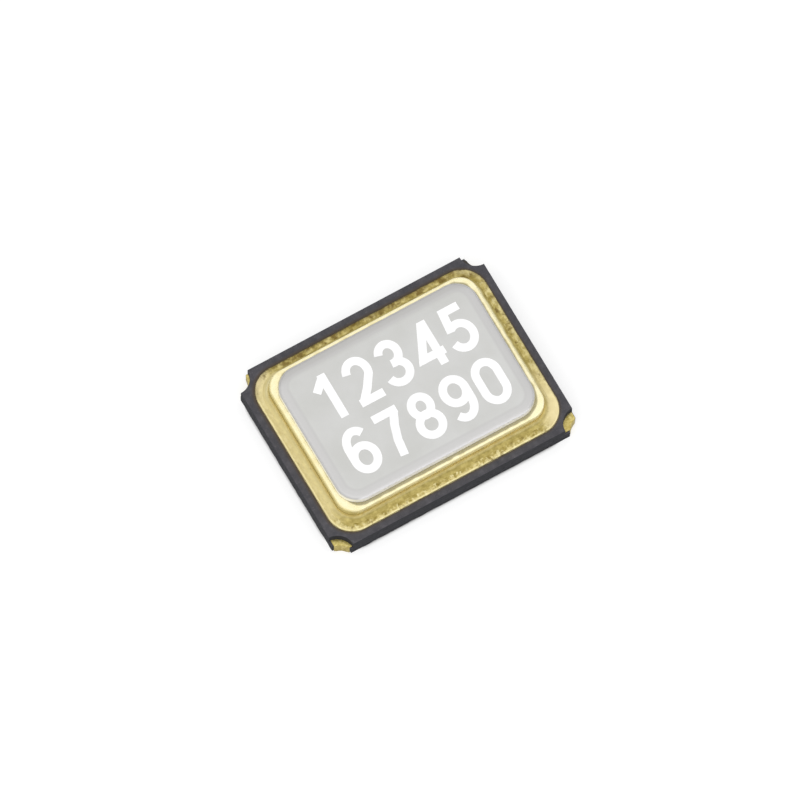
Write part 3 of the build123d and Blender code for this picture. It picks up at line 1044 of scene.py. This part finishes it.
def make_camera():
    """The photograph's view, from high on the left of the long side."""
    azimuth, elevation, painted_roll_shade = (math.radians(angle) for angle in (-30.515, 69.565, -0.869))
    distance = 317.9 * MM
    view_width = 9.140 * MM
    aim = Vector((0, 0, CERAMIC_LOW))
    off_centre = Vector((-0.0725, 0.1024)) * MM
    right = Vector((math.cos(azimuth), math.sin(azimuth), 0))
    back = Vector(
        (
            math.sin(azimuth) * math.cos(elevation),
            -math.cos(azimuth) * math.cos(elevation),
            math.sin(elevation),
        )
    )
    up = back.cross(right)
    rolled_right = right * math.cos(painted_roll_shade) - up * math.sin(painted_roll_shade)
    rolled_up = right * math.sin(painted_roll_shade) + up * math.cos(painted_roll_shade)
    data = bpy.data.cameras.new("camera")
    data.sensor_width = 36.0
    data.lens = data.sensor_width * distance / view_width
    data.clip_start = 0.01
    data.clip_end = 20.0
    camera = bpy.data.objects.new("camera", data)
    place = aim + back * distance + rolled_right * off_centre.x + rolled_up * off_centre.y
    turned = Matrix((rolled_right, rolled_up, back)).transposed().to_4x4()
    camera.matrix_world = Matrix.Translation(place) @ turned
    bpy.context.scene.collection.objects.link(camera)
    bpy.context.scene.camera = camera


def grey(level):
    """A linear grey."""
    return (level, level, level, 1.0)


def make_floor():
    """Pale floor that keeps the shadow at the object's foot, with a painted shadow where its colour darkens
    under the object's outline. What the camera sees of it is lifted to white from there on."""
    reach = 0.6
    foot_corner = 0.42 * MM
    mesh = bpy.data.meshes.new("floor")
    corners = [(-reach, -reach, 0), (reach, -reach, 0), (reach, reach, 0), (-reach, reach, 0)]
    mesh.from_pydata(corners, [], [(0, 1, 2, 3)])
    floor = bpy.data.objects.new("floor", mesh)
    bpy.context.scene.collection.objects.link(floor)
    finish = Finish("floor", Roughness=1.0, Specular_IOR_Level=0.0, Emission_Color=(1, 1, 1, 1))
    seen = finish.node("ShaderNodeLightPath").outputs["Is Camera Ray"]
    distance = finish.outside_of(BODY, foot_corner)
    lift = finish.math("MULTIPLY", seen, finish.remap(distance, -0.01 * MM, 0.022 * MM))
    # Painted shadow: the floor's colour darkens under the object's outline
    floor_and_painted_shadow = finish.mix(finish.remap(distance, -0.03 * MM, 0.0), grey(0.30), grey(0.80))
    finish.feed("Base Color", finish.mix(lift, floor_and_painted_shadow, grey(0.40)))
    finish.feed("Emission Strength", finish.math("MULTIPLY", lift, 0.66))
    mesh.materials.append(finish.material)


def make_world():
    """Room light for matt surfaces and for gloss, and the white background where the camera
    and glass look past the floor."""
    world = bpy.data.worlds.new("studio")
    bpy.context.scene.world = world
    world.use_nodes = True
    nodes, links = world.node_tree.nodes, world.node_tree.links
    nodes.clear()

    def maths(operation, *values):
        made = nodes.new("ShaderNodeMath")
        made.operation = operation
        for socket, value in zip(made.inputs, values):
            if isinstance(value, bpy.types.NodeSocket):
                links.new(value, socket)
            else:
                socket.default_value = value
        return made.outputs[0]

    def rise(value, low, high, to_low, to_high):
        made = nodes.new("ShaderNodeMapRange")
        links.new(value, made.inputs["Value"])
        for socket, number in zip(("From Min", "From Max", "To Min", "To Max"), (low, high, to_low, to_high)):
            made.inputs[socket].default_value = number
        return made.outputs["Result"]

    path = nodes.new("ShaderNodeLightPath").outputs
    axes = nodes.new("ShaderNodeSeparateXYZ").outputs
    links.new(nodes.new("ShaderNodeTexCoord").outputs["Generated"], axes["X"].node.inputs[0])
    leftward = maths("MULTIPLY", axes["X"], -0.50)
    nearward = maths("ADD", leftward, maths("MULTIPLY", axes["Y"], -0.85))

    # Matt surfaces: brighter overhead, and a little dimmer from the far side
    matt = rise(axes["Z"], 0.0, 1.0, 0.34, 0.94)
    matt = maths("MULTIPLY", matt, rise(nearward, -0.9, 0.6, 0.75, 1.0))

    # Gloss: a room that dims to the far side but for its far wall, with a lit ceiling and a
    # bright band along the horizon
    gloss = rise(nearward, -0.95, 0.25, 0.34, 0.84)
    gloss = maths("ADD", gloss, rise(nearward, -0.92, -0.62, 0.30, 0.0))
    gloss = maths("ADD", gloss, rise(axes["Z"], 0.50, 0.66, 0.0, 0.46))
    gloss = maths("MAXIMUM", gloss, rise(axes["Z"], 0.20, 0.62, 1.15, 0.0))

    # Each kind of ray gets its own level, and the background is plain white
    glossy = path["Is Glossy Ray"]
    matt = maths("MULTIPLY", matt, maths("SUBTRACT", 1.0, glossy))
    level = maths("ADD", matt, maths("MULTIPLY", gloss, glossy))
    plain = maths("MAXIMUM", path["Is Camera Ray"], path["Is Transmission Ray"])
    level = maths("MULTIPLY", level, maths("SUBTRACT", 1.0, plain))
    strength = maths("ADD", level, plain)
    sky = nodes.new("ShaderNodeBackground")
    sky.inputs["Color"].default_value = (1, 1, 1, 1)
    links.new(strength, sky.inputs["Strength"])
    output = nodes.new("ShaderNodeOutputWorld")
    links.new(sky.outputs[0], output.inputs["Surface"])


def make_softbox(name, toward, strength, width_degrees):
    """A soft lamp far off, as wide as a softbox looks from the object. Gloss shows the room
    instead."""
    data = bpy.data.lights.new(name, "SUN")
    data.energy = strength
    data.angle = math.radians(width_degrees)
    lamp = bpy.data.objects.new(name, data)
    lamp.rotation_euler = Vector(toward).to_track_quat("Z", "Y").to_euler()
    lamp.visible_glossy = False
    bpy.context.scene.collection.objects.link(lamp)


make_camera()
make_floor()
make_world()
make_softbox("overhead_softbox", (-0.20, -0.25, 1.0), strength=1.02, width_degrees=110)
make_softbox("left_softbox", (-0.80, -0.55, 0.75), strength=0.50, width_degrees=60)
bpy.context.scene.view_settings.view_transform = "Standard"
